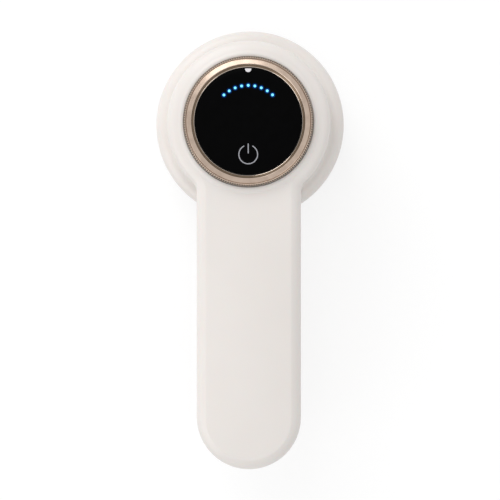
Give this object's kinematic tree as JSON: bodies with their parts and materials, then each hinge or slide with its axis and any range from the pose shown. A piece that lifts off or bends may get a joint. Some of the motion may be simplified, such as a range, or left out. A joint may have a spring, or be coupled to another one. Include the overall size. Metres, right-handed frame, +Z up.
{
  "type": "handheld body massager",
  "caption": "Handheld massager with a flat handle, a round head with a turning dial ring around a glass display, and a nodular orbiting pad below",
  "frame": {"origin": "on the head's axis, in the plane of the flat tips of the pad's nodules, which is what the object stands on", "axes": "+Z up along the head's axis, from the pad to the glass; +Y from the handle towards the head; +X to the right seen from above with the head away from the viewer"},
  "size_m": [0.09, 0.208, 0.061],
  "materials": {
    "shell_gloss": "satin-gloss moulded ABS, warm ivory",
    "plug_rubber": "matte rubber, a shade darker than the case",
    "seal_rubber": "matte black rubber",
    "pad_silicone": "matte moulded silicone, warm ivory",
    "hard_plastic": "black glass-filled plastic",
    "white_nylon": "natural nylon",
    "ring_metal": "turned and anodised aluminium, rose champagne",
    "glass_black": "polished cover glass, printed black behind",
    "screw_steel": "zinc plated steel",
    "plain_steel": "ground steel",
    "pressed_steel": "zinc plated sheet",
    "cast_aluminium": "die-cast, bead blasted",
    "magnet_black": "sintered ferrite",
    "copper_wire": "enamelled copper",
    "bronze": "sintered bronze",
    "zinc_weight": "cast zinc",
    "carbon": "pressed carbon",
    "board_green": "solder mask on glass-fibre board",
    "chip_black": "moulded epoxy",
    "lamp_white": "white ceramic with a clear lens",
    "light_clear": "clear acrylic, lit pale blue",
    "cell_sleeve": "steel can under a blue shrink sleeve",
    "nickel": "nickel strip",
    "foam_grey": "open-cell foam",
    "conductive_foam": "carbon-loaded foam",
    "flex_orange": "polyimide flat cable",
    "lead_red": "silicone insulated wire"
  },
  "bodies": {
    "root": {"upper_shell": "shell_gloss", "lower_shell": "shell_gloss", "guard_ring": "shell_gloss", "screw_plugs": "plug_rubber", "case_screws": "screw_steel", "dust_seal": "seal_rubber", "drive_frame": "pressed_steel", "frame_screws": "screw_steel", "motor_screws": "screw_steel", "motor_can": "pressed_steel", "motor_magnets": "magnet_black", "motor_end_cap": "white_nylon", "motor_brushes": "carbon", "motor_bushings": "bronze", "display_base": "hard_plastic", "display_screws": "screw_steel", "display_board": "board_green", "level_leds": "lamp_white", "led_shade": "hard_plastic", "light_pipes": "light_clear", "touch_contact": "conductive_foam", "display_glass": "glass_black", "encoder_body": "chip_black", "battery_cell": "cell_sleeve", "battery_strips": "nickel", "battery_foam": "foam_grey", "main_board": "board_green", "board_screws": "screw_steel", "board_components": "chip_black", "board_connectors": "white_nylon", "usb_socket": "pressed_steel", "usb_tongue": "chip_black", "display_cable": "flex_orange", "motor_leads": "lead_red", "battery_leads": "lead_red"},
    "dial": {"dial_ring": "ring_metal", "dial_carrier": "white_nylon"},
    "encoder_rotor": {"encoder_shaft": "plain_steel", "encoder_gear": "white_nylon"},
    "crank": {"motor_shaft": "plain_steel", "rotor_core": "plain_steel", "windings": "copper_wire", "commutator": "copper_wire", "eccentric_hub": "plain_steel", "lock_screw": "screw_steel", "counterweight": "zinc_weight", "bearing_inner": "plain_steel", "bearing_balls": "plain_steel"},
    "drive_head": {"drive_plate": "cast_aluminium", "guide_pins": "plain_steel", "bearing_outer": "plain_steel"},
    "pad": {"massage_pad": "pad_silicone", "pad_plate": "hard_plastic"}
  },
  "joints": [
    {"name": "dial_turn", "type": "hinge", "parent": "root", "child": "dial", "pos_m": [0, 0, 0.0565], "axis": [0, 0, 1], "continuous": true},
    {"name": "encoder_spin", "type": "hinge", "parent": "root", "child": "encoder_rotor", "pos_m": [0, -0.0336, 0.0532], "axis": [0, 0, 1], "continuous": true},
    {"name": "crank_spin", "type": "hinge", "parent": "root", "child": "crank", "pos_m": [0, 0, 0.0295], "axis": [0, 0, 1], "continuous": true},
    {"name": "pad_orbit", "type": "hinge", "parent": "crank", "child": "drive_head", "pos_m": [0, -0.002, 0.0175], "axis": [0, 0, 1], "continuous": true},
    {"name": "pad_release", "type": "slide", "parent": "drive_head", "child": "pad", "axis": [0, 0, -1], "range_m": [0, 0.02]}
  ],
  "couplings": [
    {"joint": "encoder_spin", "follows": "dial_turn", "ratio": -6},
    {"joint": "pad_orbit", "follows": "crank_spin", "ratio": -1}
  ]
}
